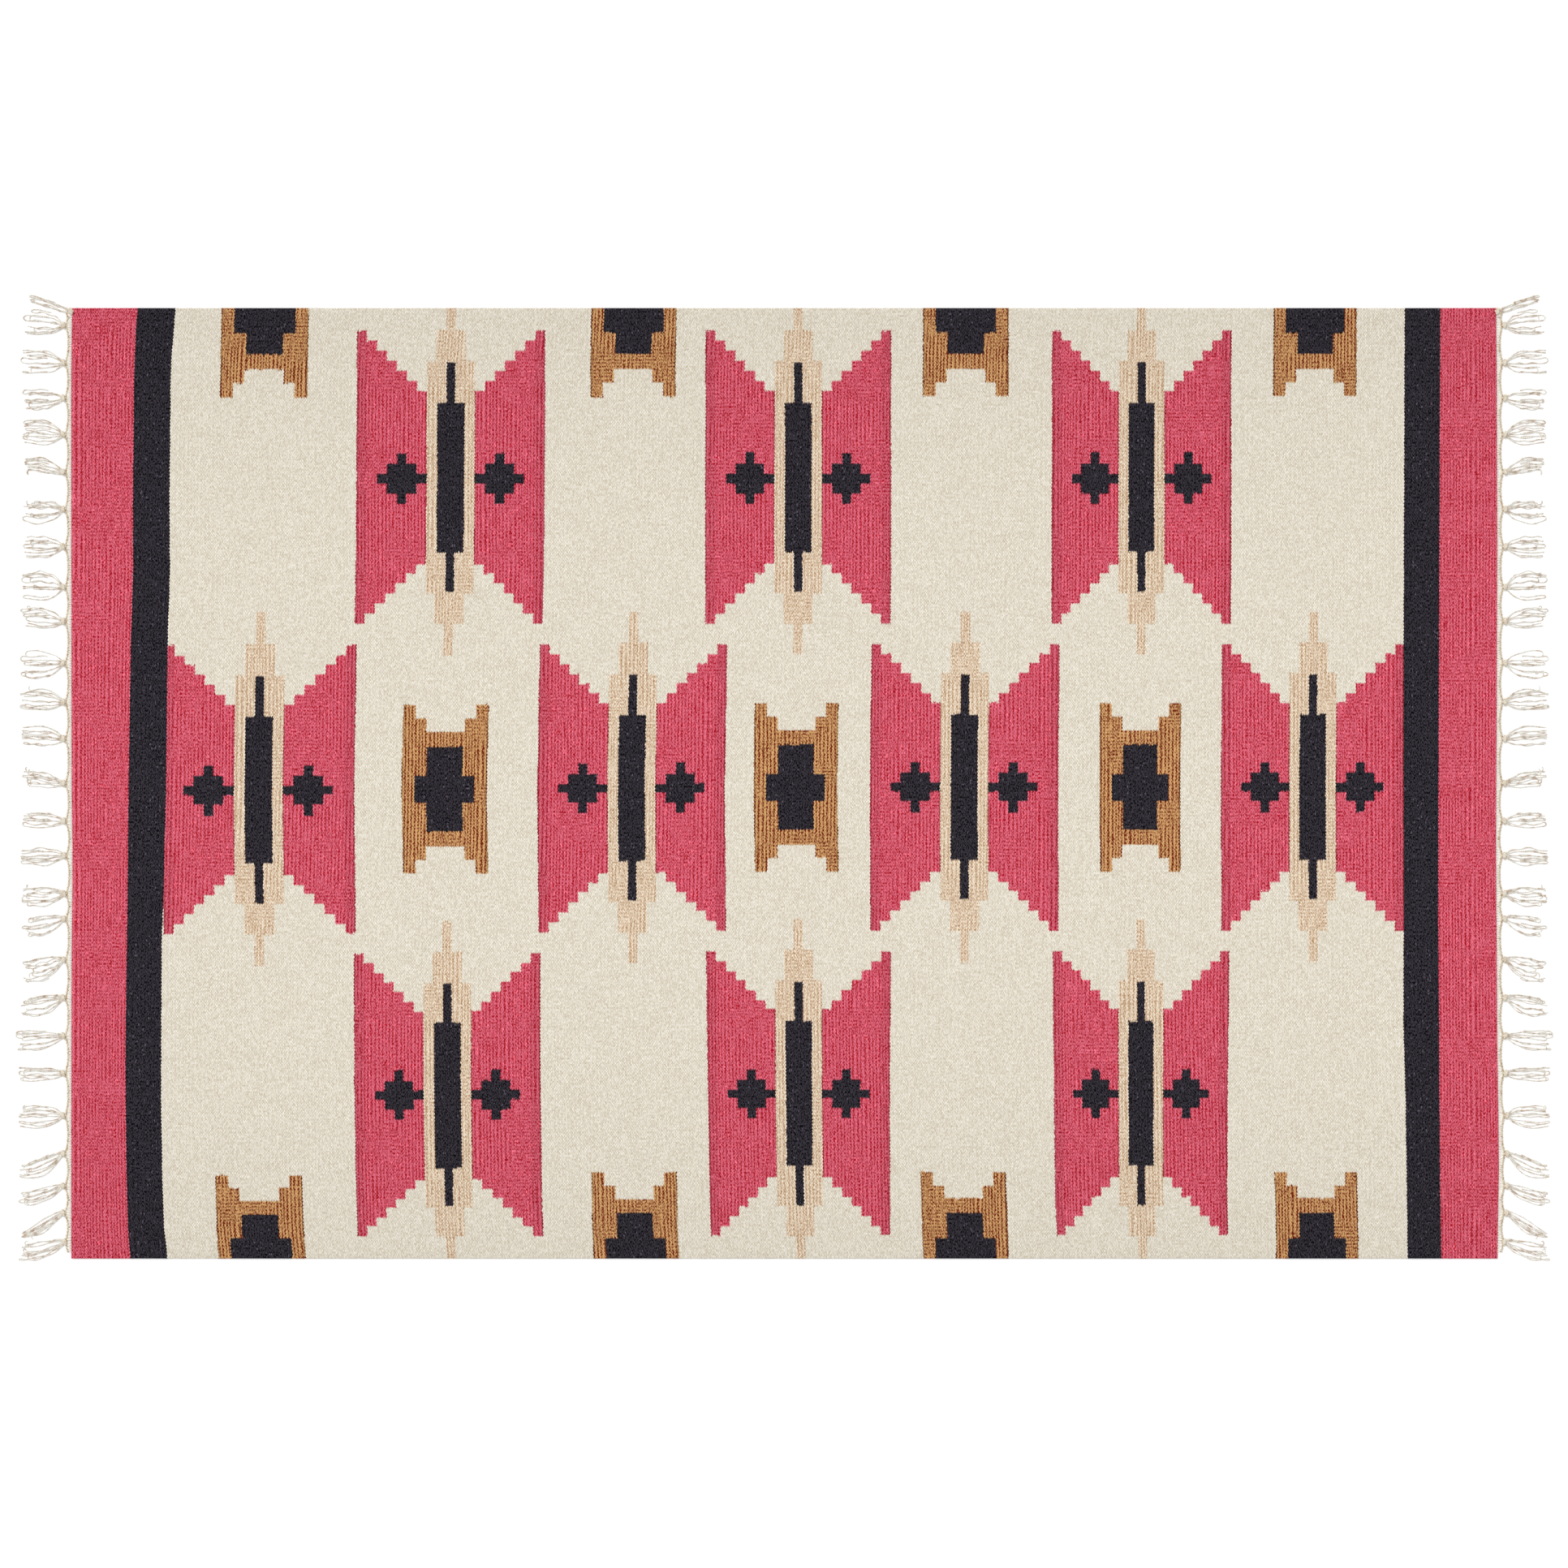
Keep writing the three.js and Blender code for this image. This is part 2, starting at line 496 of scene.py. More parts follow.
CREAM = Yarn(
    "cream", (0.82, 0.77, 0.68), (0.985, 0.965, 0.915),
    bead=0.50, streak=0.08, mottle=0.06, grain=1.2, deeper=0.35,
    fleck_share=0.06, fleck=-0.16, gap=0.45,
)
PINK = Yarn(
    "pink", (0.67, 0.0, 0.10), (0.935, 0.463, 0.548),
    bead=0.30, streak=0.45, mottle=0.06, grain=2.2, deeper=0.8,
    fleck_share=0.04, fleck=0.35, gap=0.30,
)
TAN = Yarn(
    "tan", (0.71, 0.55, 0.39), (1.0, 0.94, 0.85),
    bead=0.25, streak=0.30, mottle=0.06, grain=1.6, deeper=0.6,
    fleck_share=0.05, fleck=-0.12, gap=0.35,
)
BROWN = Yarn(
    "brown", (0.45, 0.09, 0.0), (0.885, 0.69, 0.46),
    bead=0.35, streak=0.70, mottle=0.06, grain=2.4, deeper=0.9,
    fleck_share=0.05, fleck=-0.15, gap=0.40,
)
BLACK = Yarn(
    "black", (0.0, 0.0, 0.01), (0.25, 0.23, 0.265),
    bead=0.6, streak=0.15, mottle=0.06, grain=3.2, deeper=0.9,
    fleck_share=0.03, fleck=1.6, gap=0.40,
)


def linear(colour: Sequence[float]) -> tuple[float, float, float, float]:
    """Turn an sRGB colour into the linear one that shaders use.

    Args:
        colour: Red, green and blue from 0 to 1.

    Returns:
        Linear red, green, blue and an opaque alpha.
    """
    parts = [c / 12.92 if c <= 0.04045 else ((c + 0.055) / 1.055) ** 2.4 for c in colour]
    return (parts[0], parts[1], parts[2], 1.0)


class Signal:
    """A number flowing through shader nodes, with ordinary arithmetic."""

    def __init__(self, graph: "Graph", socket: Socket) -> None:
        """Wrap an output socket.

        Args:
            graph: The graph it belongs to.
            socket: The output socket that carries the number.
        """
        self.graph = graph
        self.socket = socket

    def __add__(self, other: "Signal | float") -> "Signal":
        """The sum of two numbers."""
        return self.graph.math("ADD", self, other)

    def __sub__(self, other: "Signal | float") -> "Signal":
        """The number less another."""
        return self.graph.math("SUBTRACT", self, other)

    def __rsub__(self, other: float) -> "Signal":
        """A plain number less this one."""
        return self.graph.math("SUBTRACT", other, self)

    def __mul__(self, other: "Signal | float") -> "Signal":
        """The product of two numbers."""
        return self.graph.math("MULTIPLY", self, other)

    __radd__ = __add__
    __rmul__ = __mul__

    def below(self, limit: "Signal | float") -> "Signal":
        """1 where the number is under a limit, else 0."""
        return self.graph.math("LESS_THAN", self, limit)

    def rounded(self) -> "Signal":
        """The nearest whole number."""
        return self.graph.math("ROUND", self)

    def size(self) -> "Signal":
        """The number without its sign."""
        return self.graph.math("ABSOLUTE", self)

    def at_most(self, other: "Signal | float") -> "Signal":
        """The smaller of two numbers."""
        return self.graph.math("MINIMUM", self, other)

    def at_least(self, other: "Signal | float") -> "Signal":
        """The larger of two numbers."""
        return self.graph.math("MAXIMUM", self, other)

    def folded(self, half: float) -> "Signal":
        """Distance to the nearest multiple of twice `half`."""
        return self.graph.math("PINGPONG", self, half)

    def eased(self, low: float, high: float) -> "Signal":
        """Turn the number into a smooth step.

        Args:
            low: Where the step starts, at 0.
            high: Where it ends, at 1.

        Returns:
            The step.
        """
        ends = {"Value": self, "From Min": low, "From Max": high}
        node = self.graph.node("ShaderNodeMapRange", ends, interpolation_type="SMOOTHSTEP")
        return Signal(self.graph, node.outputs["Result"])


Value = Signal | Socket | float | Sequence[float]


class Graph:
    """The shader nodes of one material."""

    def __init__(self, name: str) -> None:
        """Start a material with only its surface shader.

        Args:
            name: Name of the material.
        """
        self.material = bpy.data.materials.new(name)
        self.material.use_nodes = True
        self.tree = self.material.node_tree
        self.surface = self.tree.nodes["Principled BSDF"]

    def feed(self, node: bpy.types.Node, inputs: dict[str | int, Value]) -> None:
        """Give some of a node's inputs their values.

        Args:
            node: The node.
            inputs: What to join to each input or to write on it, by name or number.
        """
        for key, value in inputs.items():
            if isinstance(value, Signal):
                value = value.socket
            if isinstance(value, Socket):
                self.tree.links.new(value, node.inputs[key])
            else:
                node.inputs[key].default_value = value

    def node(self, kind: str, inputs: dict[str | int, Value], **settings: object) -> bpy.types.Node:
        """Add a node.

        Args:
            kind: Its Blender type name.
            inputs: What its inputs get.
            **settings: Properties to set on it.

        Returns:
            The node.
        """
        made = self.tree.nodes.new(kind)
        for name, value in settings.items():
            setattr(made, name, value)
        self.feed(made, inputs)
        return made

    def math(self, operation: str, *values: Signal | float) -> Signal:
        """The result of one math node."""
        made = self.node("ShaderNodeMath", dict(enumerate(values)), operation=operation)
        return Signal(self, made.outputs[0])

    def split(self, vector: Socket) -> tuple[Signal, Signal, Signal]:
        """The three numbers of a vector or a colour."""
        made = self.node("ShaderNodeSeparateXYZ", {0: vector})
        return tuple(Signal(self, output) for output in made.outputs)

    def joined(self, *values: Signal | float) -> Socket:
        """A vector of up to three numbers."""
        return self.node("ShaderNodeCombineXYZ", dict(enumerate(values))).outputs[0]

    def attribute(self, name: str) -> tuple[Signal, Signal, Signal]:
        """Three numbers stored on the mesh's points."""
        made = self.node("ShaderNodeAttribute", {}, attribute_name=name)
        return self.split(made.outputs["Vector"])

    def dice(self, *values: Signal | float) -> tuple[Signal, Signal, Signal]:
        """Draw three random numbers from 0 to 1, the same ones for the same input.

        Args:
            *values: The input.

        Returns:
            The numbers.
        """
        inputs = {"Vector": self.joined(*values)}
        made = self.node("ShaderNodeTexWhiteNoise", inputs, noise_dimensions="3D")
        return self.split(made.outputs["Color"])

    def noise(self, place: Socket, detail: float, scale: float = 1.0) -> bpy.types.Node:
        """Add smooth noise around 0.5.

        Args:
            place: Where to read it.
            detail: How many finer layers it has.
            scale: Features for each unit of the place.

        Returns:
            Its node.
        """
        inputs = {"Vector": place, "Detail": detail, "Scale": scale}
        return self.node("ShaderNodeTexNoise", inputs, noise_dimensions="2D")

    def blend(self, share: Signal, first: Value, second: Value) -> Socket:
        """Mix two colours.

        Args:
            share: 0 for the first colour and 1 for the second.
            first: A colour or a socket that carries one.
            second: Likewise.

        Returns:
            The socket that carries the mix.
        """
        inputs = {0: share, 6: first, 7: second}
        return self.node("ShaderNodeMix", inputs, data_type="RGBA").outputs[2]

    def scaled(self, colour: Socket, factor: Signal) -> Socket:
        """A colour made lighter or darker by a factor."""
        inputs = {0: colour, "Scale": factor}
        return self.node("ShaderNodeVectorMath", inputs, operation="SCALE").outputs[0]

    def relief(self, height: Signal, strength: float, distance: float) -> Socket:
        """Turn heights into the way the surface faces.

        Args:
            height: The heights, as shares of the distance.
            strength: How much of them shows.
            distance: How high a height of 1 is, in millimetres.

        Returns:
            The socket that carries the normals.
        """
        inputs = {"Height": height, "Strength": strength, "Distance": distance * MM}
        return self.node("ShaderNodeBump", inputs).outputs["Normal"]


@dataclass(frozen=True)
class Ply:
    """Masks of a figure's three colours and of its rims, as signals from 0 to 1."""

    ground: Signal
    body: Signal
    dark: Signal
    rim: Signal


class WovenFinish:
    """Material of the cloth: a weft-faced plain weave in five colours, following the chart.

    Each pass of the weft over a warp shows as one oval bead. The beads lie like bricks, so with
    picks p and warps w every bead's middle has p + w even. The chart is read at the middle of
    each bead, so that a colour starts and ends with whole beads, as it does in the real weave.
    """

    TALLEST = 400.0  # half-heights are stored as shares of this
    WIDEST = 10.0  # chart units that a figure's ramp covers
    UNIT = 20.5  # usual size of a chart unit
    RIM = "rim"
    RIM_DEPTH = 0.38  # how much darker a rim is, as a share
    SELVEDGE_SHADE = 0.08  # how much darker the cloth is painted at its selvedges, as a share: painted shade
    MIDDLE_LIGHT = 1.015  # how bright its middle is painted, as a share: painted light
    PIT_MEAN = 1 / 3  # mean over a bead of how near a place is to the pits round it

    # How far the threads stray from their places: along the picks and along the warps, in threads
    STRAY = (1.1, 0.8)

    # How fine each kind of unevenness is: features for each pick and for each warp
    STRAY_GRID = (0.13, 0.22)
    GRAIN_GRID = (1.1, 0.8)
    STREAK_GRID = (0.64, 0.08)
    MOTTLE_GRID = (0.03, 0.06)
    ZONE_GRID = (0.014, 0.035)
    SWAY_GRID = (0.04, 0.0)

    # Ribs along the warps, where the picks were beaten in by turns more and less
    RIB_HALF = 2.2  # half the usual distance from one rib to the next, in picks
    RIB_SWAY = 9.0  # how far a rib strays, in picks
    RIB_STRONG = 1.4  # how much deeper the ribs are in the ribbed zones
    RIB_FAINT = 0.12  # how deep they are elsewhere
    ZONE_EDGE = (0.32, 0.52)  # noise at which a ribbed zone starts and is full

    STREAK_GAIN = 1.6
    MOTTLE_GAIN = 2.0
    BEAD_UNEVEN = 0.35  # how much the beads differ in height, as a share

    def __init__(self, name: str) -> None:
        """Prepare the graph.

        Args:
            name: Name of the material.
        """
        self.graph = Graph(name)

    def build(self) -> bpy.types.Material:
        """Build the material.

        Returns:
            The finished material.
        """
        graph = self.graph
        pick, warp, _ = graph.attribute("threads")
        odd, even, height = graph.attribute("chart")
        pick, warp = self.strayed(pick, warp)
        slant, counter = (pick + warp) * 0.5, (pick - warp) * 0.5
        slant_bead, counter_bead = slant.rounded(), counter.rounded()
        off_slant, off_counter = slant - slant_bead, counter - counter_bead
        off_pick, off_warp = off_slant + off_counter, off_slant - off_counter
        bead_pick, bead_warp = slant_bead + counter_bead, slant_bead - counter_bead
        reach = off_pick * off_pick + off_warp * off_warp

        pick_units = off_pick * (CLOTH.pick_pitch / self.UNIT)
        level = height - off_warp * CLOTH.warp_pitch
        masks = self.masks(odd - pick_units, even - pick_units, level, bead_pick)
        grain = self.noise(pick, warp, self.GRAIN_GRID, 0.0)
        ridge = 0.5 - warp.folded(1.0)
        colour, bump = self.yarns(masks, bead_pick, bead_warp, reach, grain, ridge)

        look = {"Roughness": 0.92, "Specular IOR Level": 0.08}
        look |= {"Sheen Weight": 0.02, "Sheen Roughness": 0.5}
        look |= {"Base Color": colour, "Normal": graph.relief(bump, strength=0.9, distance=0.9)}
        graph.feed(graph.surface, look)
        return graph.material

    def strayed(self, pick: Signal, warp: Signal) -> tuple[Signal, Signal]:
        """Stray a little from the even grid, so that the beads don't lie like print.

        Args:
            pick: Pick number of a place.
            warp: Warp number of it.

        Returns:
            The pick and the warp number that the place really has.
        """
        graph = self.graph
        across, along = self.STRAY_GRID
        noise = graph.noise(graph.joined(pick * across, warp * along), detail=1.0)
        aside, onward, _ = graph.split(noise.outputs["Color"])
        return pick + (aside - 0.5) * self.STRAY[0], warp + (onward - 0.5) * self.STRAY[1]

    def noise(
        self, pick: Signal, warp: Signal, grid: tuple[float, float], detail: float
    ) -> Signal:
        """Smooth noise over the threads.

        Args:
            pick: Pick number.
            warp: Warp number.
            grid: Features for each pick and for each warp.
            detail: How many finer layers it has.

        Returns:
            The noise, 0.5 on average.
        """
        place = self.graph.joined(pick * grid[0], warp * grid[1])
        return Signal(self.graph, self.graph.noise(place, detail).outputs[0])

    def figure(self, figure: Figure, unit: Signal, level: Signal) -> Ply:
        """Masks of a figure.

        Args:
            figure: The figure.
            unit: Distance from its middle line, in chart units.
            level: Distance above or below its middle, in millimetres.

        Returns:
            Its masks.
        """
        graph = self.graph
        ramp = graph.node("ShaderNodeValToRGB", {"Fac": unit * (1 / self.WIDEST)})
        stops = ramp.color_ramp
        stops.interpolation = "CONSTANT"
        for number, edge in enumerate(figure.edges()):
            place = edge / self.WIDEST
            if number == 0:
                stop = stops.elements[0]
                stops.elements.remove(stops.elements[1])
            else:
                stop = stops.elements.new(place)
            stop.position = place
            layers = (figure.ground, figure.body, figure.dark)
            heights = [layer.half_height(edge) / self.TALLEST for layer in layers]
            stop.color = (heights[0], heights[1], heights[2], figure.depth(edge))
        ground, body, dark = graph.split(ramp.outputs["Color"])
        level = level * (1 / self.TALLEST)
        ground_mask = level.below(ground)
        rim = Signal(graph, ramp.outputs["Alpha"]) * ground_mask
        return Ply(ground_mask, level.below(body), level.below(dark), rim)

    def masks(self, odd: Signal, even: Signal, level: Signal, pick: Signal) -> dict[str, Signal]:
        """Where each yarn shows.

        Args:
            odd: Chart units of the odd columns.
            even: Chart units of the even columns.
            level: Height in the chart.
            pick: Pick number.

        Returns:
            A mask for each yarn but the cream ground, and one for the rims.
        """
        half = Chart.REPEAT / 2
        odd, even = odd.folded(half), even.folded(half)
        middle = level.size()
        figures = [
            self.figure(WINGED, odd, middle),
            self.figure(WINGED, even, (middle - WINGED_ROW).size()),
            self.figure(LADDER, even, middle),
            self.figure(UPPER_LADDER, odd, (level - LADDER_ROW).size()),
            self.figure(LOWER_LADDER, odd, (level + LADDER_ROW).size()),
        ]
        winged, ladders = figures[:2], figures[2:]

        away = pick.size()
        field = away.below(WeaveMap.BLACK_PICK)
        outer = 1.0 - away.below(WeaveMap.PINK_PICK)
        pink = self.any_of([figure.ground for figure in winged]) * field
        dark = self.any_of([figure.dark for figure in figures]) * field
        return {
            self.RIM: self.any_of([figure.rim for figure in figures]) * field,
            PINK.name: pink.at_least(outer),
            TAN.name: self.any_of([figure.body for figure in winged]) * field,
            BROWN.name: self.any_of([figure.ground for figure in ladders]) * field,
            BLACK.name: dark.at_least(1.0 - field - outer),
        }

    @staticmethod
    def any_of(masks: Sequence[Signal]) -> Signal:
        """Join some masks.

        Args:
            masks: The masks.

        Returns:
            The largest of them.
        """
        most = masks[0]
        for mask in masks[1:]:
            most = most.at_least(mask)
        return most

    def yarns(
        self,
        masks: dict[str, Signal],
        pick: Signal,
        warp: Signal,
        reach: Signal,
        grain: Signal,
        ridge: Signal,
    ) -> tuple[Socket, Signal]:
        """Colour and relief of the beads.

        Args:
            masks: Where each yarn shows.
            pick: Pick number of the bead.
            warp: Warp number of the bead.
            reach: Squared distance from the bead's middle, 1 in the pits between beads.
            grain: Unevenness finer than a bead, 0.5 on average.
            ridge: Height of the ridges over every other warp, 0 on average; painted into the tone as
                light on the ridges and shade between them.

        Returns:
            The socket that carries the colour, and the relief.
        """
        graph = self.graph
        layers = CREAM.layers()
        for yarn in (PINK, TAN, BROWN, BLACK):
            mask, own = masks[yarn.name], yarn.layers()
            layers = {key: graph.blend(mask, layers[key], own[key]) for key in layers}
        bead_spread, streak_spread, mottle_spread = graph.split(layers["broad"])
        grain_spread, deeper, pit_shade = graph.split(layers["fine"])
        fleck_share, fleck_size, _ = graph.split(layers["fleck"])

        own_tone, fleck_dice, bump_dice = graph.dice(pick, warp)
        ribbed = self.noise(pick, warp, self.ZONE_GRID, 0.0).eased(*self.ZONE_EDGE)
        sway = self.noise(pick, warp, self.SWAY_GRID, 1.0)
        rib = (pick + sway * self.RIB_SWAY).folded(self.RIB_HALF) * (1 / self.RIB_HALF)
        streak = self.noise(pick, warp, self.STREAK_GRID, 0.0) - 0.5
        streak = streak + (rib - 0.5) * (ribbed * self.RIB_STRONG + self.RIB_FAINT)
        # Painted light and shade: outside the ribbed zones the tone is lighter over the ridges and
        # darker between them.
        streak = streak + ridge * (0.5 - ribbed * 0.5)
        mottle = self.noise(pick, warp, self.MOTTLE_GRID, 3.0) - 0.5
        # Painted shade and highlight: the tone is made darker in the pits between the beads and
        # lighter on their crowns.
        deep = self.PIT_MEAN - reach
        tone = (own_tone - 0.5) * bead_spread + streak * self.STREAK_GAIN * streak_spread
        tone = tone + mottle * self.MOTTLE_GAIN * mottle_spread
        tone = tone + (grain - 0.5) * grain_spread + deep * deeper + 0.5
        tone = tone.at_least(0.0).at_most(1.0)
        colour = graph.blend(tone, layers["dark"], layers["light"])

        fleck = fleck_dice.below(fleck_share) * fleck_size + 1.0
        # Painted shade: the colour is darkened further in the pits between the beads.
        pit = deep * pit_shade + 1.0
        pit = pit * (1.0 - masks[self.RIM] * self.RIM_DEPTH)
        # Painted shade and light: the cloth is painted darker towards its selvedges and a little
        # brighter in its middle.
        aside = warp.size() * (2 * CLOTH.warp_pitch / CLOTH.width)
        pit = pit * (self.MIDDLE_LIGHT - aside * aside * aside * self.SELVEDGE_SHADE)
        colour = graph.scaled(colour, fleck * pit)
        bump = (1.0 - reach) + bump_dice * self.BEAD_UNEVEN
        return colour, bump


@dataclass(frozen=True)
class Cotton:
    """How one part of the undyed cotton looks.

    Attributes:
        part: The part of the fringe.
        turns: Turns of its plies over the length of one yarn.
        groove: How far the grooves between the plies are painted tan-grey: painted shade.
        side: How far the flanks of the yarn, facing sideways or down, are painted tan-grey: painted
            shade.
        stain: How strong the tan flecks are.
        tan: How tan it is all over.
        fleck: Length of a fleck, in millimetres.
    """

    part: str
    turns: float
    groove: float
    side: float
    stain: float
    tan: float
    fleck: float


COTTONS = (
    Cotton("warp_ends", turns=1.0, groove=0.05, side=0.05, stain=0.1, tan=0.0, fleck=9.0),
    Cotton("cord", turns=300.0, groove=1.0, side=1.0, stain=1.0, tan=0.5, fleck=6.0),
    Cotton("knots", turns=14.0, groove=0.2, side=0.35, stain=0.5, tan=0.4, fleck=8.0),
    Cotton("strands", turns=14.0, groove=0.1, side=0.2, stain=0.9, tan=0.1, fleck=11.0),
)


class CottonFinish:
    """Material of the undyed warps: plied cotton with painted shade in its grooves and on its
    flanks, and tan flecks here and there.
    """

    WHITE = (0.995, 0.985, 0.955)
    # Colour of the painted shade in the grooves and on the flanks, and of the cotton's own tan all
    # over.
    SHADE_AND_TAN = (0.89, 0.82, 0.68)
    STAIN = (0.72, 0.53, 0.27)
    PLIES = 2.0
    GROOVE_WIDTH = 0.25  # half-width of a groove, as a share of a ply
    FLANK = (-0.1, 0.8)  # how far up the side of a yarn the shade starts and ends
    FLECK_EDGE = (0.42, 0.72)  # noise at which a fleck starts and is full
    ON_TOP = 0.6  # how strong the tan flecks are on top of a yarn, as a share; on the flanks they are full, partly as painted shade

    def __init__(self, look: Cotton) -> None:
        """Prepare the graph.

        Args:
            look: How it looks.
        """
        self.graph = Graph(f"cotton_{look.part}")
        self.look = look

    def build(self) -> bpy.types.Material:
        """Build the material.

        Returns:
            The finished material.
        """
        graph, look = self.graph, self.look
        coordinates = graph.node("ShaderNodeTexCoord", {})
        around, along, _ = graph.split(coordinates.outputs["UV"])
        twist = around * self.PLIES + along * look.turns
        groove = 1.0 - twist.folded(0.5).eased(0.0, self.GROOVE_WIDTH)
        normal = graph.node("ShaderNodeNewGeometry", {}).outputs["Normal"]
        _, _, up = graph.split(normal)
        # Painted shade: flanks that face sideways or down are painted darker than the top of the
        # yarn.
        side = 1.0 - up.eased(*self.FLANK)
        # Painted shade in the grooves and on the flanks, plus the cotton's own tan all over.
        shade = (groove * look.groove + side * look.side + look.tan).at_most(1.0)
        colour = graph.blend(shade, linear(self.WHITE), linear(self.SHADE_AND_TAN))
        noise = graph.noise(coordinates.outputs["Object"], 2.0, 1 / (look.fleck * MM))
        patch = Signal(graph, noise.outputs[0]).eased(*self.FLECK_EDGE)
        # The tan flecks are real stains, but they are painted stronger on the flanks than on the
        # top: partly painted shade.
        patch = patch * (side * (1 - self.ON_TOP) + self.ON_TOP) * look.stain
        colour = graph.blend(patch, colour, linear(self.STAIN))
        relief = graph.relief(1.0 - groove, strength=0.6, distance=0.4)
        surface = {"Base Color": colour, "Normal": relief}
        graph.feed(graph.surface, surface | {"Roughness": 0.9, "Specular IOR Level": 0.15})
        return graph.material


def place(name: str, data: bpy.types.ID) -> bpy.types.Object:
    """Put an object in the scene, at the origin.

    Args:
        name: Its name.
        data: Its mesh, curve, light or camera.

    Returns:
        The new object.
    """
    placed = bpy.data.objects.new(name, data)
    bpy.context.scene.collection.objects.link(placed)
    return placed


class ClothPiece:
    """The woven cloth as one closed sheet with rounded edges."""

    CELLS_LONG = 200
    CELLS_WIDE = 134
    END_ZONE = 220.0  # how far in from an end its wander fades out
    WAVE = 0.45  # how far the upper face rises and falls
    SHORT = 0.6  # how much the short waves count beside the long ones

    def __init__(self, weave: WeaveMap) -> None:
        """Keep the thread map.

        Args:
            weave: Thread numbers of places on the cloth.
        """
        self.weave = weave

    def build(self, material: bpy.types.Material) -> bpy.types.Object:
        """Build the piece.

        Args:
            material: The woven material.

        Returns:
            The new object.
        """
        bm = bmesh.new()
        cells = {"x_segments": self.CELLS_LONG, "y_segments": self.CELLS_WIDE}
        bmesh.ops.create_grid(bm, size=0.5, **cells)
        bmesh.ops.scale(bm, vec=(CLOTH.length * MM, CLOTH.width * MM, 1), verts=bm.verts)
        rim = [edge for edge in bm.edges if edge.is_boundary]
        lifted = bmesh.ops.extrude_face_region(bm, geom=bm.faces[:] + rim)["geom"]
        top = [item for item in lifted if isinstance(item, bmesh.types.BMVert)]
        bmesh.ops.translate(bm, vec=(0, 0, CLOTH.thickness * MM), verts=top)
        bmesh.ops.recalc_face_normals(bm, faces=bm.faces)
        self.round_rim(bm)
        self.settle(bm)
        self.write_threads(bm)
        mesh = bpy.data.meshes.new("cloth_weave")
        bm.to_mesh(mesh)
        bm.free()
        mesh.materials.append(material)
        mesh.shade_smooth()
        return place("cloth_weave", mesh)

    def round_rim(self, bm: bmesh.types.BMesh) -> None:
        """Round the upper and the lower edge of the rim.

        Args:
            bm: The sheet.
        """
        sharp = [
            edge
            for edge in bm.edges
            if len(edge.link_faces) == 2 and edge.calc_face_angle(0.0) > math.radians(60)
        ]
        level = [e for e in sharp if abs(e.verts[0].co.z - e.verts[1].co.z) < 0.1 * MM]
        bmesh.ops.bevel(
            bm,
            geom=level,
            offset=CLOTH.edge_round * MM,
            segments=3,
            profile=0.5,
            affect="EDGES",
            clamp_overlap=True,
        )

    def settle(self, bm: bmesh.types.BMesh) -> None:
        """Give the ends their wander and the upper face its faint waves.

        Args:
            bm: The sheet.
        """
        for vert in bm.verts:
            x, y = vert.co.x / MM, vert.co.y / MM
            end = End.RIGHT if x > 0 else End.LEFT
            near = max(0.0, 1 - (CLOTH.length / 2 - abs(x)) / self.END_ZONE)
            vert.co.x += end.value * END_WANDER[end].at(y) * near * MM
            share = vert.co.z / (CLOTH.thickness * MM)
            vert.co.z += self.WAVE * self.wave(x, y) * max(share, 0.0) * MM

    def wave(self, x: float, y: float) -> float:
        """Read a calm swell, made of a few long waves.

        Args:
            x: Place along the length.
            y: Place across the width.

        Returns:
            Its height, from -1 to 0.
        """
        long = math.sin(x / 173 + 1.3 * math.sin(y / 260))
        cross = math.sin(y / 141 + x / 390)
        short = math.sin(x / 71 - y / 97)
        most = 2 + self.SHORT
        return (long + cross + self.SHORT * short - most) / (2 * most)

    def write_threads(self, bm: bmesh.types.BMesh) -> None:
        """Store each point's thread numbers and chart places.

        Args:
            bm: The sheet.
        """
        threads = bm.verts.layers.float_vector.new("threads")
        chart = bm.verts.layers.float_vector.new("chart")
        for vert in bm.verts:
            x, y = vert.co.x / MM, vert.co.y / MM
            vert[threads] = (self.weave.pick(x, y), self.weave.warp(y), 0.0)
            vert[chart] = (ODD_COLUMNS.across(x, y), EVEN_COLUMNS.across(x, y), Rows.at(x, y))


@dataclass(frozen=True)
class Tassel:
    """One knot of the fringe and the strands below it.

    Attributes:
        knot: The knot's place across the width.
        tip: The middle of its tips, across the width.
        fan: How wide its strands are spread.
        reach: From the nominal end to its longest tip.
        turn: How soon it turns from the knot towards its tips; 1 goes straight.
        gather: How far its tips are drawn together again, as a share of the fan.
        knot_out: From the cloth to the middle of the knot.
    """

    knot: float
    tip: float
    fan: float
    reach: float
    turn: float = 3.0
    gather: float = 0.2
    knot_out: float = 17.0


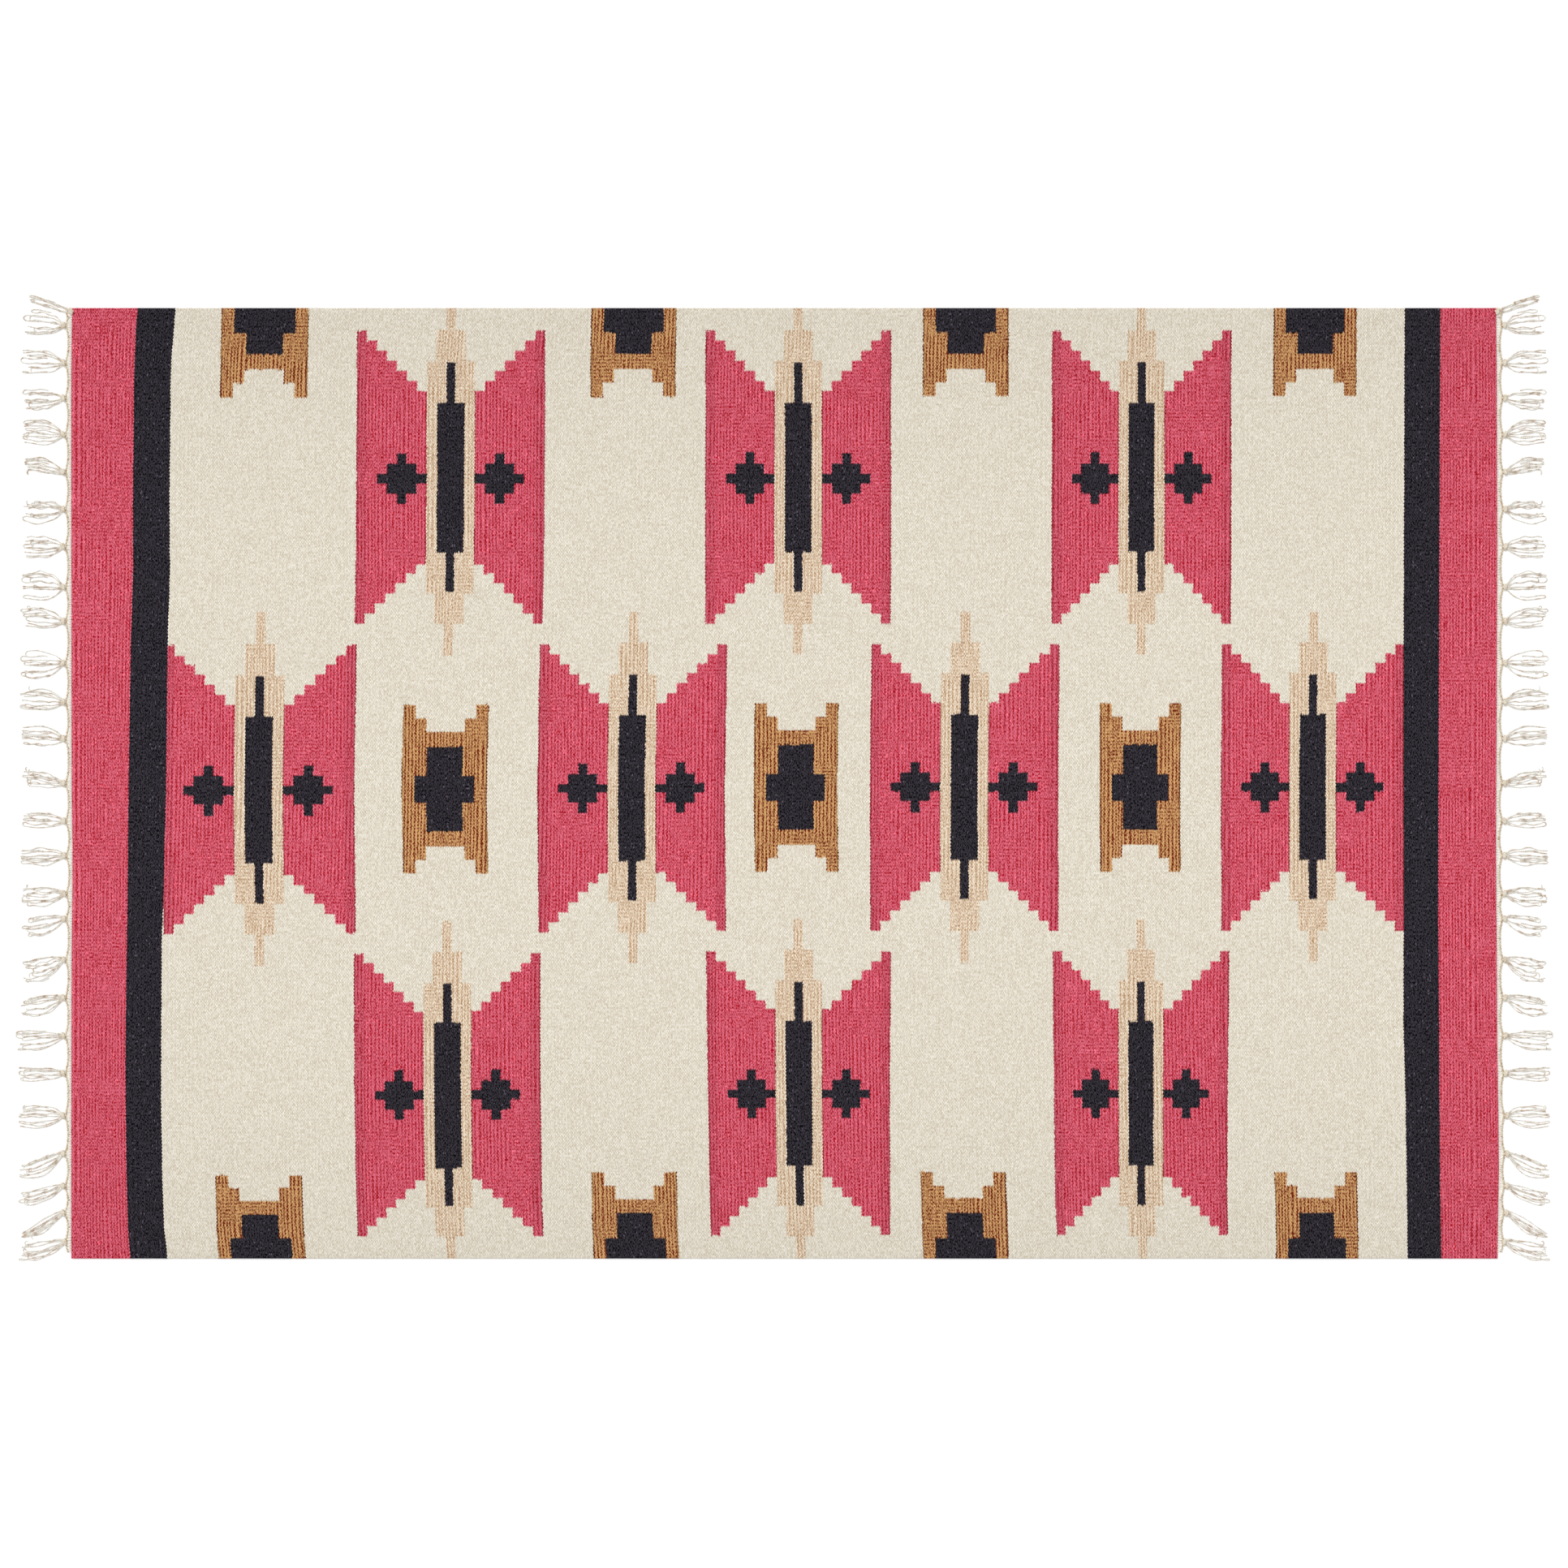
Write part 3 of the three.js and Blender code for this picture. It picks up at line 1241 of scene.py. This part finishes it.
TASSELS = (
    Tassel(993, 1020, 18, 88, turn=1.3, gather=0.1, knot_out=2.0),
    Tassel(964, 970, 50, 98, turn=1.4, gather=0.0),
    Tassel(885, 888, 50, 103, turn=2.6, gather=0.1),
    Tassel(811, 806, 40, 100, turn=4.0, gather=0.1),
    Tassel(734, 741, 52, 100),
    Tassel(655, 671, 34, 99, turn=2.2, gather=0.3),
    Tassel(577, 574, 46, 101, turn=4.0, gather=0.25),
    Tassel(498, 500, 44, 101, turn=3.5, gather=0.1),
    Tassel(413, 418, 54, 103),
    Tassel(341, 352, 48, 106),
    Tassel(253, 249, 54, 105, gather=0.1),
    Tassel(171, 176, 46, 108, gather=0.3),
    Tassel(94, 102, 40, 105),
    Tassel(0, 13, 31, 103, turn=2.0, gather=0.1),
    Tassel(-79, -75, 36, 101),
    Tassel(-152, -156, 34, 106, gather=0.4),
    Tassel(-232, -239, 40, 103),
    Tassel(-285, -302, 48, 103, turn=2.0),
    Tassel(-371, -393, 54, 101, turn=1.8),
    Tassel(-451, -470, 48, 108, turn=2.2, gather=0.3),
    Tassel(-531, -542, 48, 115, gather=0.1),
    Tassel(-610, -610, 28, 111, gather=0.1),
    Tassel(-699, -702, 48, 110),
    Tassel(-779, -813, 50, 110, turn=1.7, gather=0.5),
    Tassel(-847, -873, 28, 110, turn=1.8),
    Tassel(-904, -950, 30, 105, turn=1.5, gather=0.7),
    Tassel(-965, -988, 46, 110, turn=2.0, gather=0.1, knot_out=13.0),
)


class YarnBundle:
    """Round yarns laid along paths, gathered into one piece.

    Paths are lists of (out, y, z) points in millimetres: out is counted from the nominal end of
    the cloth, away from it.
    """

    def __init__(self, name: str, end: End, sides: int, smoothness: int) -> None:
        """Start an empty bundle.

        Args:
            name: Name of the piece.
            end: The end of the rug it belongs to.
            sides: Half the number of flats round each yarn, less one.
            smoothness: Steps between two points of a path.
        """
        self.name = name
        self.end = end
        self.curve = bpy.data.curves.new(name, "CURVE")
        self.curve.dimensions = "3D"
        self.curve.bevel_depth = 1.0 * MM
        self.curve.bevel_resolution = sides
        self.curve.resolution_u = smoothness
        self.curve.use_fill_caps = True
        self.curve.twist_mode = "MINIMUM"

    def lay(self, path: Sequence[Point], radii: Iterable[float], smooth: bool = True) -> None:
        """Lay one yarn.

        Args:
            path: The points it passes.
            radii: Its radius at each of them.
            smooth: Whether it bends evenly between them.
        """
        spline = self.curve.splines.new("BEZIER" if smooth else "POLY")
        nodes = spline.bezier_points if smooth else spline.points
        nodes.add(len(path) - 1)
        for node, (out, y, z), radius in zip(nodes, path, radii):
            x = self.end.value * (CLOTH.length / 2 + out)
            point = (x * MM, y * MM, z * MM)
            node.co = point if smooth else (*point, 1.0)
            node.radius = radius
            if smooth:
                node.handle_left_type = node.handle_right_type = "AUTO"

    def finish(self, material: bpy.types.Material) -> bpy.types.Object:
        """Turn the yarns into a mesh piece.

        Args:
            material: Their material.

        Returns:
            The new object.
        """
        draft = place(self.name + "_draft", self.curve)
        graph = bpy.context.evaluated_depsgraph_get()
        mesh = bpy.data.meshes.new_from_object(draft.evaluated_get(graph), depsgraph=graph)
        bpy.data.objects.remove(draft)
        bpy.data.curves.remove(self.curve)
        mesh.name = self.name
        mesh.materials.clear()
        mesh.materials.append(material)
        mesh.shade_smooth()
        return place(self.name, mesh)


class Fringe:
    """The knotted fringe of one end, from the cloth outwards.

    It has four pieces: the warps where they leave the cloth, the cord they are gathered in, the
    knots, and the loose strands.
    """

    CORD_OUT = 6.4  # from the cloth to the middle of the cord
    CORD_ENDS = (-987.0, 989.0)  # where the cord stops, across the width
    CORD_LAY = 14.2  # length of one turn of the cord
    CORD_PLY = 1.35  # radius of each of its two plies
    BELLY = 4.5  # how much further out the cord is drawn at a knot
    BELLY_HALF = 17.0
    KNOT_RISE = 2.2  # how much higher a knot lies that rests on the cloth's corner
    PULL = 0.35  # how far a knot draws the warps to it, as a share of their distance
    PULL_HALF = 24.0  # how far along the cord it does so
    STRAY = 0.8  # how far a warp strays sideways
    KNOT_TURNS = 2.5  # turns of yarn round a knot
    KNOT_STEPS = 8  # points of each turn
    KNOT_LONG = 4.6  # length of the turns together, from middle to middle
    KNOT_HALF = 6.1  # from the knot's middle to the middle of its yarn, sideways
    KNOT_YARN = 1.75
    STRAND = 0.95  # usual radius of a loose strand
    STRAND_STEPS = 8
    LOOPED = 0.3  # share of the strands that come back as a loop
    HOOKED = 0.4  # share of the others whose tip bends round

    def __init__(self, end: End, cottons: dict[str, bpy.types.Material]) -> None:
        """Prepare the fringe.

        Args:
            end: Which end of the rug.
            cottons: The finished material of each part.
        """
        self.end = end
        self.cottons = cottons
        self.wander = END_WANDER[end]
        self.chance = random.Random(20)

    def build(self) -> list[bpy.types.Object]:
        """Build the pieces.

        Returns:
            The new objects.
        """
        return [self.warp_ends(), self.cord(), self.knots(), self.strands()]

    def belly(self, y: float) -> float:
        """How far the cord is drawn out at a place across the width."""
        gap = min(abs(y - tassel.knot) for tassel in TASSELS)
        return self.BELLY * math.exp(-((gap / self.BELLY_HALF) ** 2))

    def warp_ends(self) -> bpy.types.Object:
        """Lay the warps between the last pick and the cord.

        Returns:
            The new object.
        """
        bundle = YarnBundle(f"warp_ends_{self.end.label}", self.end, sides=0, smoothness=2)
        pitch = CLOTH.warp_pitch
        low, high = self.CORD_ENDS
        count = int((high - low) / pitch)
        for number in range(count):
            y = low + (number + 0.5) * pitch
            edge = self.wander.at(y)
            nearest = min(TASSELS, key=lambda tassel: abs(tassel.knot - y))
            pull = self.PULL * math.exp(-(((nearest.knot - y) / self.PULL_HALF) ** 2))
            lean = (nearest.knot - y) * pull + self.chance.uniform(-self.STRAY, self.STRAY)
            out = self.CORD_OUT + self.belly(y)
            height = 2.2 + self.chance.uniform(-0.3, 0.5)
            root, tip = (edge - 0.6, y, 2.4), (edge + out, y + lean, height)
            arch = (edge + out * 0.45, y + lean * 0.3, height + 1.0)
            bundle.lay((root, arch, tip), (1.4, 1.6, 1.5))
        return bundle.finish(self.cottons["warp_ends"])

    def cord(self) -> bpy.types.Object:
        """Lay the two-ply cord along the end, drawn out at each knot.

        Returns:
            The new object.
        """
        bundle = YarnBundle(f"end_cord_{self.end.label}", self.end, sides=1, smoothness=2)
        low, high = self.CORD_ENDS
        step = self.CORD_LAY / 10
        count = int((high - low) / step)
        for ply in (0.0, math.pi):
            path = []
            for number in range(count + 1):
                y = high - number * step
                turn = 2 * math.pi * y / self.CORD_LAY + ply
                out = self.wander.at(y) + self.CORD_OUT + self.belly(y)
                swing = self.CORD_PLY * 0.85
                path.append((out + swing * math.cos(turn), y, 2.6 + swing * math.sin(turn)))
            bundle.lay(path, [self.CORD_PLY] * len(path), smooth=False)
        return bundle.finish(self.cottons["cord"])

    def knots(self) -> bpy.types.Object:
        """Tie an overhand knot for each tassel: a core with turns of yarn round it.

        Returns:
            The new object.
        """
        bundle = YarnBundle(f"knots_{self.end.label}", self.end, sides=1, smoothness=3)
        for tassel in TASSELS:
            middle = self.wander.at(tassel.knot) + tassel.knot_out
            rise = self.KNOT_RISE if tassel.knot_out < self.CORD_OUT else 0.0
            tilt = self.chance.uniform(-0.2, 0.35)
            size = self.chance.uniform(0.88, 1.08)
            bundle.lay(
                [
                    (middle - 5, tassel.knot, 3.0 + rise),
                    (middle - 2, tassel.knot, 4.0 + rise),
                    (middle + 2, tassel.knot, 4.0 + rise),
                    (middle + 4.5, tassel.knot, 3.2),
                ],
                (2.4, 3.6, 3.6, 2.4),
            )
            path, steps = [], int(self.KNOT_TURNS * self.KNOT_STEPS)
            for number in range(steps + 1):
                turn = 2 * math.pi * number / self.KNOT_STEPS
                along = (number / steps - 0.5) * self.KNOT_LONG
                wide = self.KNOT_HALF * size * (1 - 0.06 * along**2)
                y = tassel.knot + wide * math.cos(turn)
                lean = tilt * wide * math.cos(turn)
                path.append((middle + along + lean, y, 4.4 + rise + 2.5 * math.sin(turn)))
            bundle.lay(path, [self.KNOT_YARN] * len(path))
        return bundle.finish(self.cottons["knots"])

    def strands(self) -> bpy.types.Object:
        """Lay the loose strands, resting on the floor.

        Returns:
            The new object.
        """
        bundle = YarnBundle(f"strands_{self.end.label}", self.end, sides=1, smoothness=3)
        for tassel in TASSELS:
            count = 9 + round(tassel.fan / 20)
            shares = [number / (count - 1) - 0.5 for number in range(count)]
            while shares:
                path = self.strand(tassel, shares.pop(0))
                if shares and self.chance.random() < self.LOOPED:
                    path = self.looped(path, self.strand(tassel, shares.pop(0)))
                elif self.chance.random() < self.HOOKED:
                    self.hook(path)
                radius = self.STRAND * self.chance.uniform(0.85, 1.15)
                middle = (tassel.reach + tassel.knot_out) / 2
                half = (tassel.reach - tassel.knot_out) / 2
                radii = [radius * (0.76 + 0.34 * ((out - middle) / half) ** 2) for out, _, _ in path]
                bundle.lay(path, radii)
        return bundle.finish(self.cottons["strands"])

    def strand(self, tassel: Tassel, share: float) -> list[Point]:
        """Find the path of one strand.

        Args:
            tassel: The tassel it belongs to.
            share: Its place in the fan, from -0.5 to 0.5.

        Returns:
            Its points.
        """
        chance = self.chance
        root = self.wander.at(tassel.knot) + tassel.knot_out + 3
        run = tassel.reach - root - chance.uniform(0, 1) ** 2 * 16
        spread = (share + chance.uniform(-0.13, 0.13)) * tassel.fan
        phase, waves = chance.uniform(0, 2 * math.pi), chance.uniform(1.2, 2.6)
        swing, lift = chance.uniform(0.4, 1.9), chance.uniform(0.0, 2.0)
        path = []
        for step in range(self.STRAND_STEPS + 1):
            gone = step / self.STRAND_STEPS
            middle = tassel.knot + (tassel.tip - tassel.knot) * (1 - (1 - gone) ** tassel.turn)
            opened = 1 - (1 - gone) ** 4
            y = middle + share * 9 * (1 - opened)
            y += spread * opened * (1 - tassel.gather * gone**3)
            wave = swing * math.sin(phase + waves * 2 * math.pi * gone) * min(1, 4 * gone)
            fall = max(0.0, 1 - gone * 4) ** 2
            height = self.STRAND + 2.4 * fall + lift * math.sin(math.pi * gone) ** 2
            path.append((root + run * gone, y + wave, height))
        return path

    @staticmethod
    def looped(there: list[Point], back: list[Point]) -> list[Point]:
        """Let one yarn run out along a path and come back along another.

        Args:
            there: The way out.
            back: The other path, from its root too.

        Returns:
            The whole path, with a bend at the tips.
        """
        (out, y, z), (out_back, y_back, _) = there[-1], back[-1]
        bend = (max(out, out_back) + 0.35 * abs(y - y_back), (y + y_back) / 2, z)
        return there + [bend] + back[:2:-1]

    def hook(self, path: list[Point]) -> None:
        """Bend the last part of a strand round.

        Args:
            path: The strand's path.
        """
        chance = self.chance
        tip_out, tip_y, height = path.pop()
        out, y, _ = path[-1]
        heading = math.atan2(tip_y - y, tip_out - out)
        turn = chance.choice((-1, 1)) * chance.uniform(0.4, 1.1)
        pace = chance.uniform(2.2, 4.5)
        for _ in range(4):
            heading += turn
            out += pace * math.cos(heading)
            y += pace * math.sin(heading)
            path.append((out, y, height))


@dataclass(frozen=True)
class Studio:
    """Camera, floor and light, seen as the photograph sees the rug: square-on from above.

    Attributes:
        view_width: Width of floor that the picture spans, in millimetres.
        lens: Focal length of the camera, in millimetres.
        aim: Place on the cloth under the middle of the picture, in millimetres.
        far: How far the camera sees, in metres.
        floor_half: From the middle of the floor to its edge, in metres.
        white: Brightness of the floor's paint.
        glow: How much light the floor adds, so that it comes out as white as a paper sweep.
        sky: Strength of the light from all round.
        key: Strength of the main light and the direction to it.
        fill: The same for the weaker one.
        softness: Width of both as seen from the rug, in degrees.
    """

    view_width: float = 3298.6
    lens: float = 85.0
    aim: tuple[float, float] = (-0.7, -1.4)
    far: float = 200.0
    floor_half: float = 70.0
    white: float = 0.93
    glow: float = 0.12
    sky: float = 0.55
    key: tuple[float, Point] = (1.55, (-0.55, 0.5, 1.0))
    fill: tuple[float, Point] = (0.3, (0.8, -0.3, 0.9))
    softness: float = 25.0

    def build(self) -> None:
        """Set up the whole studio."""
        self.camera()
        self.floor()
        self.lights()

    def camera(self) -> None:
        """A camera straight above the rug."""
        data = bpy.data.cameras.new("camera")
        data.lens = self.lens
        data.clip_end = self.far
        distance = self.view_width * self.lens / data.sensor_width + CLOTH.thickness
        camera = place("camera", data)
        camera.location = (self.aim[0] * MM, self.aim[1] * MM, distance * MM)
        bpy.context.scene.camera = camera

    def floor(self) -> None:
        """A plain white floor."""
        bm = bmesh.new()
        bmesh.ops.create_grid(bm, x_segments=1, y_segments=1, size=self.floor_half)
        mesh = bpy.data.meshes.new("floor")
        bm.to_mesh(mesh)
        bm.free()
        graph = Graph("floor_white")
        paint = {"Base Color": (self.white,) * 3 + (1,), "Roughness": 0.9}
        paint |= {"Emission Color": (1, 1, 1, 1), "Emission Strength": self.glow}
        graph.feed(graph.surface, paint | {"Specular IOR Level": 0.0})
        mesh.materials.append(graph.material)
        place("floor", mesh)

    def lights(self) -> None:
        """Soft light from all round, and a broad key light from the upper left."""
        world = bpy.data.worlds.new("studio")
        world.use_nodes = True
        background = world.node_tree.nodes["Background"]
        background.inputs["Color"].default_value = (1.0, 1.0, 1.0, 1)
        background.inputs["Strength"].default_value = self.sky
        scene = bpy.context.scene
        scene.world = world
        scene.view_settings.view_transform = "Standard"
        for name, (strength, toward) in (("key", self.key), ("fill", self.fill)):
            data = bpy.data.lights.new(name, "SUN")
            data.energy = strength
            data.angle = math.radians(self.softness)
            light = place(name, data)
            light.rotation_euler = Vector(toward).to_track_quat("Z", "Y").to_euler()


def main() -> None:
    """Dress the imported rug."""
    logging.basicConfig(level=logging.INFO, format="%(name)s: %(message)s")
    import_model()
    Studio().build()
    cloth = ClothPiece(WeaveMap()).build(WovenFinish("woven_cloth").build())
    LOG.info("%s: %d faces", cloth.name, len(cloth.data.polygons))
    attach(cloth, "root")
    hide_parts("cloth")
    cottons = {look.part: CottonFinish(look).build() for look in COTTONS}
    fringe_pieces = []
    for end in End:
        pieces = Fringe(end, cottons).build()
        for piece in pieces:
            LOG.info("%s: %d faces", piece.name, len(piece.data.polygons))
            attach(piece, "root")
            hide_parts(f"fringe_{end.label}")
        fringe_pieces += pieces


if __name__ == "__main__":
    main()
